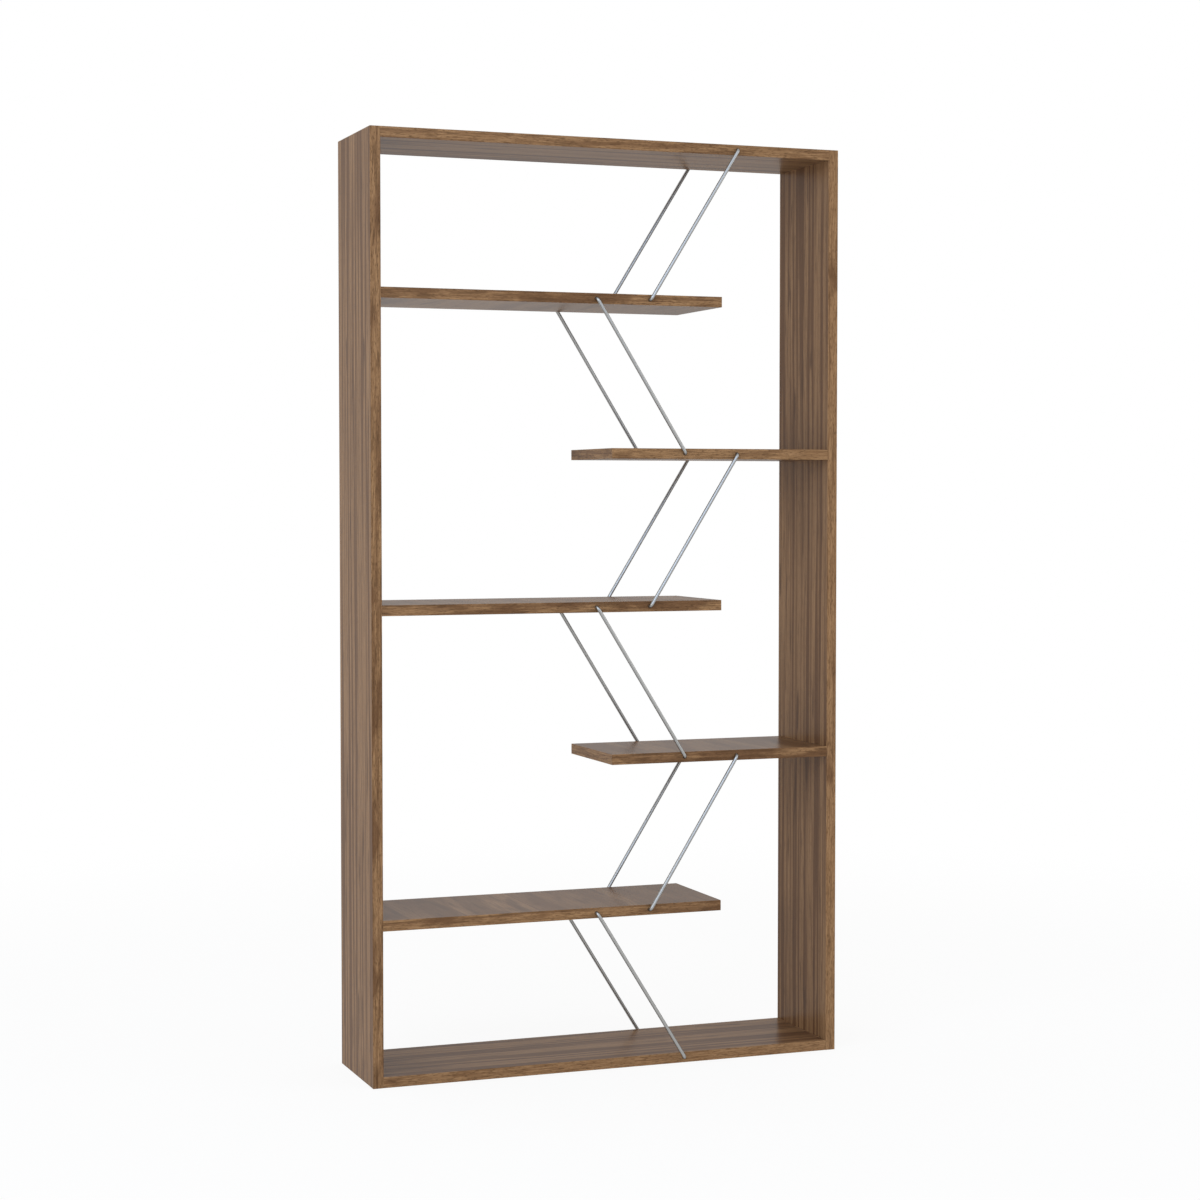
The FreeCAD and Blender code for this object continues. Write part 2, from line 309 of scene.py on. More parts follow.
@dataclass(frozen=True)
class WalnutDecor:
    """Printed walnut decor under a clear satin face.

    To the eye: warm mid brown with long darker bands and lines that waver and fade, small dark
    eyes and clouds among them, and fine fibres and pores; the clear face greys it at a low angle.
    A decor with leaves shows strips of veneer side by side, each with a shade of its own.
    """

    name: str
    light: str
    mid: str
    dark: str
    deep: str
    bands: Figure
    lines: Figure
    eyes: Figure
    clouds: Figure
    # Real fibres and pores are a few tenths of a millimetre wide: these are drawn several times
    # as coarse, because finer ones don't show in the render.
    fibres: Figure
    pores: Figure
    waver_mm: float
    waver_length_mm: float
    leaf_width_mm: float = 0.0
    leaf_shade: float = 0.7
    leaf_shift_m: Point = (3.0, 0.0, 0.4)
    shows_core: bool = False
    chip_mm: float = 2.5
    chip_dark: str = "#9C7B55"
    chip_pale: str = "#C9AC82"
    face_cosine: float = 0.5
    roughness: float = 0.42
    pore_roughness: float = 0.2
    relief_mm: float = 0.12
    relief_strength: float = 0.25
    # The print is matt, and all the gloss is the clear face's. Its resin refracts by about 1.5:
    # the lower value is matched to the soft sheen of the real face, which is finely textured.
    print_gloss: float = 0.0
    clear_weight: float = 0.42
    clear_roughness: float = 0.29
    clear_refraction: float = 1.3

    def grain_frame(
        self, tree: bpy.types.NodeTree, grain: Grain, sheet: Sheet
    ) -> tuple[bpy.types.Node, Optional[bpy.types.Node]]:
        """Turns object coordinates so that the grain lies along X, and makes the figure waver.

        Args:
            tree: the material's node tree.
            grain: the axis of the grain.
            sheet: the stretch of decor that the board is cut from.

        Returns:
            The wavering coordinates in metres, and how far each leaf darkens where there are
            leaves.
        """
        place = add_node(tree, "ShaderNodeTexCoord").outputs["Object"]
        turned = add_node(
            tree,
            "ShaderNodeMapping",
            {
                "Vector": place,
                "Rotation": grain.turn,
                "Location": (sheet.slide_mm * MM, sheet.across_mm * MM, 0.0),
            },
        )
        leaf_mask = None
        if self.leaf_width_mm:
            across = add_node(tree, "ShaderNodeSeparateXYZ", {0: turned}).outputs["Y"]
            width = self.leaf_width_mm * MM
            counted = add_node(tree, "ShaderNodeMath", {0: across, 1: width}, operation="DIVIDE")
            leaf = add_node(tree, "ShaderNodeMath", {0: counted}, operation="FLOOR")
            draw = add_node(
                tree, "ShaderNodeTexWhiteNoise", {"W": leaf}, noise_dimensions="1D"
            ).outputs
            leaf_mask = add_node(
                tree,
                "ShaderNodeMath",
                {0: draw["Value"], 1: self.leaf_shade},
                operation="MULTIPLY",
            )
            turned = add_node(
                tree,
                "ShaderNodeVectorMath",
                {0: draw["Color"], 1: self.leaf_shift_m, 2: turned},
                operation="MULTIPLY_ADD",
            )
        slow = add_node(
            tree,
            "ShaderNodeTexNoise",
            {"Vector": turned, "Scale": 1 / (self.waver_length_mm * MM), "Detail": 0.0},
        )
        # The noise swings half a unit to either side.
        sway = 2 * self.waver_mm * MM
        wavering = add_node(
            tree,
            "ShaderNodeVectorMath",
            {0: slow.outputs["Color"], 1: (0.0, sway, sway), 2: turned},
            operation="MULTIPLY_ADD",
        )
        return wavering, leaf_mask

    def core_mix(
        self, tree: bpy.types.NodeTree, grain: Grain, decor: bpy.types.NodeSocket
    ) -> bpy.types.NodeSocket:
        """Shows raw chipboard where a cut opens the board.

        Args:
            tree: the material's node tree.
            grain: the axis of the grain.
            decor: the colour of the faces.

        Returns:
            The colour with pressed chips on every cut face.
        """
        place = add_node(tree, "ShaderNodeTexCoord").outputs["Object"]
        chip = add_node(
            tree, "ShaderNodeTexVoronoi", {"Vector": place, "Scale": 1 / (self.chip_mm * MM)}
        )
        chips = add_node(
            tree,
            "ShaderNodeMix",
            {
                MIX_SHARE: chip.outputs["Color"],
                MIX_FIRST: linear(self.chip_dark),
                MIX_SECOND: linear(self.chip_pale),
            },
            data_type="RGBA",
        ).outputs[MIX_RESULT]
        normal = add_node(tree, "ShaderNodeNewGeometry").outputs["Normal"]
        turned = add_node(
            tree,
            "ShaderNodeMapping",
            {"Vector": normal, "Rotation": grain.turn},
            vector_type="VECTOR",
        )
        upright = add_node(tree, "ShaderNodeSeparateXYZ", {0: turned}).outputs["Z"]
        facing = add_node(tree, "ShaderNodeMath", {0: upright}, operation="ABSOLUTE")
        is_face = add_node(
            tree, "ShaderNodeMath", {0: facing, 1: self.face_cosine}, operation="GREATER_THAN"
        )
        return add_node(
            tree,
            "ShaderNodeMix",
            {MIX_SHARE: is_face, MIX_FIRST: chips, MIX_SECOND: decor},
            data_type="RGBA",
        ).outputs[MIX_RESULT]

    def material(self, grain: Grain, sheet: Sheet) -> bpy.types.Material:
        """Makes the finish for one direction of grain.

        Args:
            grain: the axis of the grain.
            sheet: the stretch of decor that the board is cut from.

        Returns:
            The material.
        """
        material, tree = new_material(f"{self.name}_{sheet.name}_{grain.name.lower()}")
        frame, leaf_mask = self.grain_frame(tree, grain, sheet)
        fibres = self.fibres.mask(tree, frame)
        pores = self.pores.mask(tree, frame)
        layers = [
            (fibres, self.light),
            (self.bands.mask(tree, frame, sheet.depth), self.dark),
            (self.lines.mask(tree, frame), self.dark),
            (self.clouds.mask(tree, frame, sheet.depth), self.dark),
            (self.eyes.mask(tree, frame, sheet.depth), self.deep),
            (pores, self.deep),
        ]
        if leaf_mask is not None:
            layers.append((leaf_mask, self.dark))
        colour: Any = linear(self.mid)
        for mask, shade in layers:
            colour = add_node(
                tree,
                "ShaderNodeMix",
                {MIX_SHARE: mask, MIX_FIRST: colour, MIX_SECOND: linear(shade)},
                data_type="RGBA",
            ).outputs[MIX_RESULT]
        if self.shows_core:
            colour = self.core_mix(tree, grain, colour)
        roughness = add_node(
            tree,
            "ShaderNodeMapRange",
            {
                "Value": pores,
                "To Min": self.roughness,
                "To Max": self.roughness + self.pore_roughness,
            },
        )
        height = add_node(tree, "ShaderNodeMath", {0: fibres, 1: pores}, operation="SUBTRACT")
        relief = add_node(
            tree,
            "ShaderNodeBump",
            {"Strength": self.relief_strength, "Distance": self.relief_mm * MM, "Height": height},
        )
        shader = add_node(
            tree,
            "ShaderNodeBsdfPrincipled",
            {
                "Base Color": colour,
                "Roughness": roughness,
                "Normal": relief,
                "Specular IOR Level": self.print_gloss,
                "Coat Weight": self.clear_weight,
                "Coat Roughness": self.clear_roughness,
                "Coat IOR": self.clear_refraction,
            },
        )
        add_node(tree, "ShaderNodeOutputMaterial", {"Surface": shader})
        return material


# Melamine-faced chipboard with a pressed walnut print: long dark stripes along the board on a
# warm brown, and a satin sheen. Each layer gives a mark's length and width in millimetres, where
# it fades in, and its strength.
BOARD_FACE = WalnutDecor(
    name="walnut_melamine",
    light="#937252",
    mid="#7F6043",
    dark="#654831",
    deep="#533A28",
    bands=Figure(1100, 13, 0.49, 0.59, 1.0),
    lines=Figure(700, 5, 0.53, 0.63, 0.6),
    eyes=Figure(110, 9, 0.61, 0.74, 0.8),
    clouds=Figure(300, 60, 0.54, 0.76, 0.35),
    fibres=Figure(140, 2.4, 0.35, 0.65, 1.0, 2.0),
    pores=Figure(16, 1.3, 0.54, 0.70, 0.4),
    waver_mm=5,
    waver_length_mm=420,
    shows_core=True,
)
# The same board cut across the print: broad soft bands in leaves that change shade side by side.
SHELF_FACE = replace(
    BOARD_FACE,
    bands=Figure(280, 42, 0.45, 0.63, 0.75),
    lines=Figure(220, 4.5, 0.55, 0.67, 0.3),
    eyes=Figure(110, 18, 0.60, 0.76, 0.5),
    waver_mm=9,
    waver_length_mm=280,
    leaf_width_mm=130,
    clear_weight=0.5,
)
# Printed ABS edge strip: a lighter, warmer brown than the faces, with a short, speckled figure.
EDGE_BAND = WalnutDecor(
    name="walnut_print_abs",
    light="#A37F5B",
    mid="#876646",
    dark="#664830",
    deep="#4F3723",
    bands=Figure(240, 6, 0.52, 0.66, 0.55),
    lines=Figure(70, 2.0, 0.54, 0.68, 0.45),
    eyes=Figure(50, 4.5, 0.60, 0.74, 0.45),
    clouds=Figure(110, 40, 0.52, 0.66, 0.75, 3.0),
    fibres=Figure(36, 1.3, 0.35, 0.65, 1.0, 3.0),
    pores=Figure(8, 1.0, 0.53, 0.67, 0.6),
    waver_mm=4,
    waver_length_mm=150,
)


@dataclass(frozen=True)
class DrawnMetal:
    """A metal with fine marks from drawing, turning or casting.

    To the eye: a soft streak of light along each round, darker towards its rims.
    """

    name: str
    colour: str
    worn: str
    rim: str
    roughness: float
    roughness_spread: float
    mark_length_mm: float
    mark_width_mm: float
    relief_mm: float
    mark_detail: float = 2.0
    relief_strength: float = 0.2
    attribute: str = ""

    def material(self) -> bpy.types.Material:
        """Makes the finish.

        Returns:
            The material.
        """
        material, tree = new_material(self.name)
        if self.attribute:
            run = add_node(tree, "ShaderNodeAttribute", attribute_name=self.attribute)
            place = run.outputs["Vector"]
        else:
            place = add_node(tree, "ShaderNodeTexCoord").outputs["Object"]
        along, across = 1 / (self.mark_length_mm * MM), 1 / (self.mark_width_mm * MM)
        placed = add_node(
            tree, "ShaderNodeMapping", {"Vector": place, "Scale": (along, across, across)}
        )
        marks = add_node(
            tree,
            "ShaderNodeTexNoise",
            {"Vector": placed, "Scale": 1.0, "Detail": self.mark_detail},
        )
        colour = add_node(
            tree,
            "ShaderNodeMix",
            {MIX_SHARE: marks, MIX_FIRST: linear(self.colour), MIX_SECOND: linear(self.worn)},
            data_type="RGBA",
        ).outputs[MIX_RESULT]
        roughness = add_node(
            tree,
            "ShaderNodeMapRange",
            {
                "Value": marks,
                "To Min": self.roughness - self.roughness_spread,
                "To Max": self.roughness + self.roughness_spread,
            },
        )
        relief = add_node(
            tree,
            "ShaderNodeBump",
            {"Strength": self.relief_strength, "Distance": self.relief_mm * MM, "Height": marks},
        )
        shader = add_node(
            tree,
            "ShaderNodeBsdfPrincipled",
            {
                "Base Color": colour,
                "Roughness": roughness,
                "Normal": relief,
                "Metallic": 1.0,
                "Specular Tint": linear(self.rim),
            },
        )
        add_node(tree, "ShaderNodeOutputMaterial", {"Surface": shader})
        return material


# Steel wire, drawn, chromed and satin polished: a soft pale streak along the rod, with faint draw
# marks, which are drawn coarser than the real hair lines so that they show.
ROD_CHROME = DrawnMetal(
    name="satin_chromed_steel",
    colour="#A5A5A3",
    worn="#9F9F9D",
    rim="#9A9A9A",
    roughness=0.38,
    roughness_spread=0.03,
    mark_length_mm=40,
    mark_width_mm=0.8,
    relief_mm=0.005,
    attribute="rod_run",
)
# Die-cast zinc as it leaves the mould: dull grey with a slightly mottled skin.
CAM_ZINC = DrawnMetal(
    name="die_cast_zinc",
    colour="#A7A9AB",
    worn="#8E9092",
    rim="#B0B0B0",
    roughness=0.42,
    roughness_spread=0.1,
    mark_length_mm=1.5,
    mark_width_mm=1.5,
    relief_mm=0.05,
)
# Turned steel with a thin zinc plating: brighter, with a slightly warm cast and fine tool marks.
BOLT_STEEL = DrawnMetal(
    name="zinc_plated_steel",
    colour="#B9B8B2",
    worn="#9D9B92",
    rim="#B0B0B0",
    roughness=0.35,
    roughness_spread=0.08,
    mark_length_mm=6,
    mark_width_mm=0.6,
    relief_mm=0.02,
)


@dataclass(frozen=True)
class TurnedBeech:
    """Bare beech, turned and fluted.

    To the eye: pale pinkish tan with short dark flecks along the length.
    """

    name: str = "turned_beech"
    pale: str = "#D3AE84"
    fleck: str = "#A67B52"
    flecks: Figure = Figure(4, 0.4, 0.55, 0.70, 0.8)
    roughness: float = 0.6
    relief_mm: float = 0.1
    relief_strength: float = 0.3

    def material(self) -> bpy.types.Material:
        """Makes the finish.

        Returns:
            The material.
        """
        material, tree = new_material(self.name)
        place = add_node(tree, "ShaderNodeTexCoord").outputs["Object"]
        flecks = self.flecks.mask(tree, place)
        colour = add_node(
            tree,
            "ShaderNodeMix",
            {MIX_SHARE: flecks, MIX_FIRST: linear(self.pale), MIX_SECOND: linear(self.fleck)},
            data_type="RGBA",
        ).outputs[MIX_RESULT]
        relief = add_node(
            tree,
            "ShaderNodeBump",
            {"Strength": self.relief_strength, "Distance": self.relief_mm * MM, "Height": flecks},
        )
        shader = add_node(
            tree,
            "ShaderNodeBsdfPrincipled",
            {"Base Color": colour, "Normal": relief, "Roughness": self.roughness},
        )
        add_node(tree, "ShaderNodeOutputMaterial", {"Surface": shader})
        return material


@dataclass
class Carcass:
    """The frame of four panels and the five shelves, whose solids are shown as they are."""

    uprights: tuple[str, ...] = ("left_side_panel", "right_side_panel")
    levels: tuple[str, ...] = ("top_panel", "bottom_panel")
    shelves: tuple[str, ...] = (
        "shelf_1_long", "shelf_2_short", "shelf_3_long", "shelf_4_short", "shelf_5_long",
    )
    shelf_sheets: tuple[Sheet, ...] = (
        Sheet("shelf_1", 0, 0.0, 1300),
        Sheet("shelf_2", 0, -0.05, 2600),
        Sheet("shelf_3", 0, 0.0, 3900),
        Sheet("shelf_4", 0, 0.04, 4160),
        Sheet("shelf_5", 0, 0.07, 5850),
    )

    def dress(self, nodes: dict[str, bpy.types.Object]) -> None:
        """Dresses the boards: figure up the sides, along the top and bottom, across the shelves.

        Args:
            nodes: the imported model's objects by name.
        """
        upright = BOARD_FACE.material(Grain.ALONG_Z, Sheet("upright"))
        level = BOARD_FACE.material(Grain.ALONG_X, Sheet("level"))
        finishes = {name: upright for name in self.uprights}
        finishes |= {name: level for name in self.levels}
        for name, sheet in zip(self.shelves, self.shelf_sheets):
            finishes[name] = SHELF_FACE.material(Grain.ALONG_Y, sheet)
        for name, finish in finishes.items():
            dress(nodes[name], finish)
            log.info("%s: %s", name, finish.name)


@dataclass
class EdgeBands:
    """The thin strips glued to the boards' edges, whose solids are shown as they are."""

    sheets: dict[str, Sheet] = field(
        default_factory=lambda: {
            "left_side_panel": Sheet("left", 0, 0.05),
            "right_side_panel": Sheet("right", 700, -0.05),
            "top_panel": Sheet("top", 0, 0.04),
            "bottom_panel": Sheet("bottom", 500, -0.09),
            "shelf_1_long": Sheet("shelf_1", 0, 0.04),
            "shelf_2_short": Sheet("shelf_2", 300, -0.08),
            "shelf_3_long": Sheet("shelf_3", 0, 0.07),
            "shelf_4_short": Sheet("shelf_4", 0, 0.10),
            "shelf_5_long": Sheet("shelf_5", 0, 0.02),
        }
    )
    end_sheet: Sheet = Sheet("end", 150, 0.03)

    def end_strip(self, board: str) -> Optional[str]:
        """Names the strip on a board's free end, the upper one of an upright.

        Args:
            board: the board's node.

        Returns:
            The strip's node, or nothing where both ends butt against uprights.
        """
        if board in Carcass.uprights:
            return f"{board}_top_band"
        return f"{board}_end_band" if board in Carcass.shelves else None

    def dress(self, nodes: dict[str, bpy.types.Object]) -> None:
        """Dresses each strip with the figure along its length.

        Args:
            nodes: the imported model's objects by name.
        """
        end_finish = EDGE_BAND.material(Grain.ALONG_Y, self.end_sheet)
        for board, sheet in self.sheets.items():
            grain = Grain.ALONG_Z if board in Carcass.uprights else Grain.ALONG_X
            finish = EDGE_BAND.material(grain, sheet)
            strips = {f"{board}_front_band": finish, f"{board}_rear_band": finish}
            end = self.end_strip(board)
            if end:
                strips[end] = end_finish
            for name, strip_finish in strips.items():
                dress(nodes[name], strip_finish)
                log.info("%s: %s", name, strip_finish.name)


@dataclass
class ZigzagRods:
    """Bent rods across each gap between boards, in front and behind, with legs in the edges."""

    gaps: int = 6
    diameter_mm: float = 6.0
    bend_mm: float = 5.8
    ring_sides: int = 32
    bend_steps: int = 12
    slot: str = "rod_chrome"
    sides: tuple[str, ...] = ("front", "rear")

    def tree(self) -> bpy.types.NodeTree:
        """Builds the node tree that sweeps a rod along its bent path.

        Returns:
            The tree, with the rod's sizes as named inputs.
        """
        tree = new_tree(
            "bent_rod",
            {
                "Path": "Geometry",
                "Diameter": "Float",
                "Bend radius": "Float",
                "Ring sides": "Int",
                "Bend steps": "Int",
                "Finish": "Material",
            },
            "Rod",
        )
        given = add_node(tree, "NodeGroupInput").outputs
        path = add_node(tree, "GeometryNodeMeshToCurve", {"Mesh": given["Path"]})
        bent = add_node(
            tree,
            "GeometryNodeFilletCurve",
            {
                "Curve": path,
                "Radius": given["Bend radius"],
                "Count": given["Bend steps"],
                "Limit Radius": True,
            },
            mode="POLY",
        )
        run = add_node(tree, "GeometryNodeSplineParameter").outputs["Length"]
        measured = add_node(tree, "GeometryNodeCaptureAttribute", domain="POINT")
        measured.capture_items.new("FLOAT", "run")
        tree.links.new(bent.outputs[0], measured.inputs["Geometry"])
        tree.links.new(run, measured.inputs["run"])
        radius = add_node(
            tree, "ShaderNodeMath", {0: given["Diameter"], 1: 0.5}, operation="MULTIPLY"
        )
        ring = add_node(
            tree,
            "GeometryNodeCurvePrimitiveCircle",
            {"Resolution": given["Ring sides"], "Radius": radius},
        )
        place = add_node(tree, "GeometryNodeInputPosition")
        ring_place = add_node(tree, "GeometryNodeCaptureAttribute", domain="POINT")
        ring_place.capture_items.new("VECTOR", "ring")
        tree.links.new(ring.outputs[0], ring_place.inputs["Geometry"])
        tree.links.new(place.outputs[0], ring_place.inputs["ring"])
        tube = add_node(
            tree,
            "GeometryNodeCurveToMesh",
            {"Curve": measured, "Profile Curve": ring_place, "Fill Caps": True},
        )
        around = add_node(tree, "ShaderNodeSeparateXYZ", {0: ring_place.outputs["ring"]}).outputs
        straightened = add_node(
            tree,
            "ShaderNodeCombineXYZ",
            {"X": measured.outputs["run"], "Y": around["X"], "Z": around["Y"]},
        )
        marked = add_node(
            tree,
            "GeometryNodeStoreNamedAttribute",
            {"Geometry": tube, "Name": ROD_CHROME.attribute, "Value": straightened},
            data_type="FLOAT_VECTOR",
            domain="POINT",
        )
        smooth = add_node(tree, "GeometryNodeSetShadeSmooth", {"Geometry": marked})
        close_tree(tree, smooth, given["Finish"])
        return tree

    def path(self, node: str, gap: int) -> list[Point]:
        """Finds the corners of a rod's centreline from its solid's box.

        Args:
            node: the rod's node.
            gap: the gap that it crosses, counted from the top.

        Returns:
            The end of the upper leg, the two corners and the end of the lower leg, in metres.
        """
        low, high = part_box(node)
        half = self.diameter_mm * MM / 2
        left, right = low.x + half, high.x - half
        upper_x, lower_x = (right, left) if gap % 2 else (left, right)
        is_front = abs(low.y) > abs(high.y)
        run_y, leg_y = (low.y + half, high.y) if is_front else (high.y - half, low.y)
        top, bottom = high.z - half, low.z + half
        return [
            (upper_x, leg_y, top),
            (upper_x, run_y, top),
            (lower_x, run_y, bottom),
            (lower_x, leg_y, bottom),
        ]

    def build(self) -> None:
        """Builds every rod in place of its solid."""
        tree = self.tree()
        sizes = {
            "Diameter": self.diameter_mm * MM,
            "Bend radius": self.bend_mm * MM,
            "Ring sides": self.ring_sides,
            "Bend steps": self.bend_steps,
            "Finish": ROD_CHROME.material(),
        }
        for side in self.sides:
            for gap in range(1, self.gaps + 1):
                node = f"{side}_rod_{gap}"
                piece = line_piece(f"{node}_tube", self.path(node, gap))
                piece.data = evaluate(piece, tree, sizes)
                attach(piece, BODY)
                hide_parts(node)
                log.info("%s: %d faces", piece.name, len(piece.data.polygons))


@dataclass(frozen=True)
class Grooves:
    """Grooves in the round of a fitting: a thread where they wind, flutes where they are straight.

    The crest ends and the root starts at a share of the spacing, measured from mid-crest.
    """

    starts: int
    turns_per_mm: float
    depth_mm: float
    from_mm: float
    to_mm: float
    crest_share: float = 0.1
    root_share: float = 0.4


@dataclass
class TurnedFitting:
    """A fitting turned about X, whose copies stand at every board joint in front and behind."""

    node: str
    name: str
    slot: str
    row_mm: float
    stations_mm: list[tuple[float, float]]
    ring_sides: int
    grooves: Grooves
    crease_deg: float = 35.0
    touch_mm: float = 0.5
    radius_attribute: str = "station_radius"

    @staticmethod
    def groove(tree: bpy.types.NodeTree, given: Any, blank: bpy.types.Node) -> bpy.types.Node:
        """Cuts the grooves into a turned blank.

        Args:
            tree: the fittings' node tree.
            given: the tree's named inputs.
            blank: the node that makes the blank.

        Returns:
            The node that makes the grooved blank.
        """
        place = add_node(tree, "GeometryNodeInputPosition")
        along, left, up = add_node(tree, "ShaderNodeSeparateXYZ", {0: place}).outputs
        angle = add_node(tree, "ShaderNodeMath", {0: up, 1: left}, operation="ARCTAN2")
        turned = add_node(tree, "ShaderNodeMath", {0: angle, 1: math.tau}, operation="DIVIDE")
        wound = add_node(
            tree, "ShaderNodeMath", {0: along, 1: given["Groove turns"]}, operation="MULTIPLY"
        )
        counted = add_node(
            tree,
            "ShaderNodeMath",
            {0: turned, 1: given["Groove starts"], 2: wound},
            operation="MULTIPLY_ADD",
        )
        phase = add_node(tree, "ShaderNodeMath", {0: counted}, operation="FRACT")
        # Half a spacing is the way from mid-crest to mid-root.
        from_crest = add_node(tree, "ShaderNodeMath", {0: phase, 1: 0.5}, operation="PINGPONG")
        profile = add_node(
            tree,
            "ShaderNodeMapRange",
            {
                "Value": from_crest,
                "From Min": given["Groove crest"],
                "From Max": given["Groove root"],
                "To Max": given["Groove depth"],
            },
            interpolation_type="SMOOTHSTEP",
        )
        after = add_node(
            tree, "ShaderNodeMath", {0: along, 1: given["Groove from"]}, operation="GREATER_THAN"
        )
        before = add_node(
            tree, "ShaderNodeMath", {0: along, 1: given["Groove to"]}, operation="LESS_THAN"
        )
        within = add_node(tree, "ShaderNodeMath", {0: after, 1: before}, operation="MULTIPLY")
        cut = add_node(tree, "ShaderNodeMath", {0: profile, 1: within}, operation="MULTIPLY")
        axis = add_node(tree, "ShaderNodeCombineXYZ", {"X": along})
        to_axis = add_node(tree, "ShaderNodeVectorMath", {0: axis, 1: place}, operation="SUBTRACT")
        inward = add_node(tree, "ShaderNodeVectorMath", {0: to_axis}, operation="NORMALIZE")
        offset = add_node(
            tree, "ShaderNodeVectorMath", {0: inward, "Scale": cut}, operation="SCALE"
        )
        return add_node(tree, "GeometryNodeSetPosition", {"Geometry": blank, "Offset": offset})

    @classmethod
    def tree(cls) -> bpy.types.NodeTree:
        """Builds the node tree that turns a fitting, grooves it and sets a copy at each joint.

        Returns:
            The tree, with the joints and the grooves' sizes as named inputs.
        """
        tree = new_tree(
            "turned_fitting",
            {
                "Stations": "Geometry",
                "Joints": "Object",
                "Ring sides": "Int",
                "Groove starts": "Int",
                "Groove turns": "Float",
                "Groove depth": "Float",
                "Groove from": "Float",
                "Groove to": "Float",
                "Groove crest": "Float",
                "Groove root": "Float",
                "Crease angle": "Float",
                "Finish": "Material",
            },
            "Fittings",
        )
        given = add_node(tree, "NodeGroupInput").outputs
        radius = add_node(
            tree,
            "GeometryNodeInputNamedAttribute",
            {"Name": cls.radius_attribute},
            data_type="FLOAT",
        )
        axis = add_node(tree, "GeometryNodeMeshToCurve", {"Mesh": given["Stations"]})
        ring = add_node(
            tree,
            "GeometryNodeCurvePrimitiveCircle",
            {"Resolution": given["Ring sides"], "Radius": 1.0},
        )
        blank = add_node(
            tree,
            "GeometryNodeCurveToMesh",
            {
                "Curve": axis,
                "Profile Curve": ring,
                "Scale": radius.outputs["Attribute"],
                "Fill Caps": True,
            },
        )
        grooved = cls.groove(tree, given, blank)
        bend = add_node(tree, "GeometryNodeInputMeshEdgeAngle").outputs["Unsigned Angle"]
        is_sharp = add_node(
            tree, "ShaderNodeMath", {0: bend, 1: given["Crease angle"]}, operation="GREATER_THAN"
        )
        creased = add_node(
            tree,
            "GeometryNodeSetShadeSmooth",
            {"Geometry": grooved, "Selection": is_sharp, "Shade Smooth": False},
            domain="EDGE",
        )
        joints = add_node(tree, "GeometryNodeObjectInfo", {"Object": given["Joints"]})
        place = add_node(tree, "GeometryNodeInputPosition")
        along = add_node(tree, "ShaderNodeSeparateXYZ", {0: place}).outputs["X"]
        is_right = add_node(tree, "ShaderNodeMath", {0: along, 1: 0.0}, operation="GREATER_THAN")
        half_turn = add_node(
            tree, "ShaderNodeMath", {0: is_right, 1: math.pi}, operation="MULTIPLY"
        )
        turn = add_node(tree, "ShaderNodeCombineXYZ", {"Z": half_turn})
        copies = add_node(
            tree,
            "GeometryNodeInstanceOnPoints",
            {"Points": joints.outputs["Geometry"], "Instance": creased, "Rotation": turn},
        )
        close_tree(tree, copies, given["Finish"])
        return tree

    def joint_points(self) -> list[Point]:
        """Finds the places of the copies, on the inner faces of the uprights at mid-board.

        Returns:
            The places in metres.
        """
        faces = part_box(Carcass.uprights[0])[1].x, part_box(Carcass.uprights[1])[0].x
        row = self.row_mm * MM
        points = []
        for board in Carcass.levels + Carcass.shelves:
            low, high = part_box(board)
            middle = (low.z + high.z) / 2
            for face, end in zip(faces, (low.x, high.x)):
                if abs(face - end) < self.touch_mm * MM:
                    points += [(face, -row, middle), (face, row, middle)]
        return points

    def build(self, tree: bpy.types.NodeTree, finish: bpy.types.Material) -> bpy.types.Object:
        """Turns the fitting and keeps its copies as one plain mesh.

        Args:
            tree: the node tree of turned fittings.
            finish: the fitting's material.

        Returns:
            The finished piece.
        """
        piece = line_piece(self.name, [(along * MM, 0.0, 0.0) for along, _ in self.stations_mm])
        radii = piece.data.attributes.new(self.radius_attribute, "FLOAT", "POINT")
        radii.data.foreach_set("value", [radius * MM for _, radius in self.stations_mm])
        joints = line_piece("joints", self.joint_points())
        grooves = self.grooves
        sizes = {
            "Joints": joints,
            "Ring sides": self.ring_sides,
            "Groove starts": grooves.starts,
            "Groove turns": grooves.turns_per_mm / MM,
            "Groove depth": grooves.depth_mm * MM,
            "Groove from": grooves.from_mm * MM,
            "Groove to": grooves.to_mm * MM,
            "Groove crest": grooves.crest_share,
            "Groove root": grooves.root_share,
            "Crease angle": math.radians(self.crease_deg),
            "Finish": finish,
        }
        piece.data = evaluate(piece, tree, sizes)
        bpy.data.objects.remove(joints)
        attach(piece, BODY)
        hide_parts(self.node)
        return piece


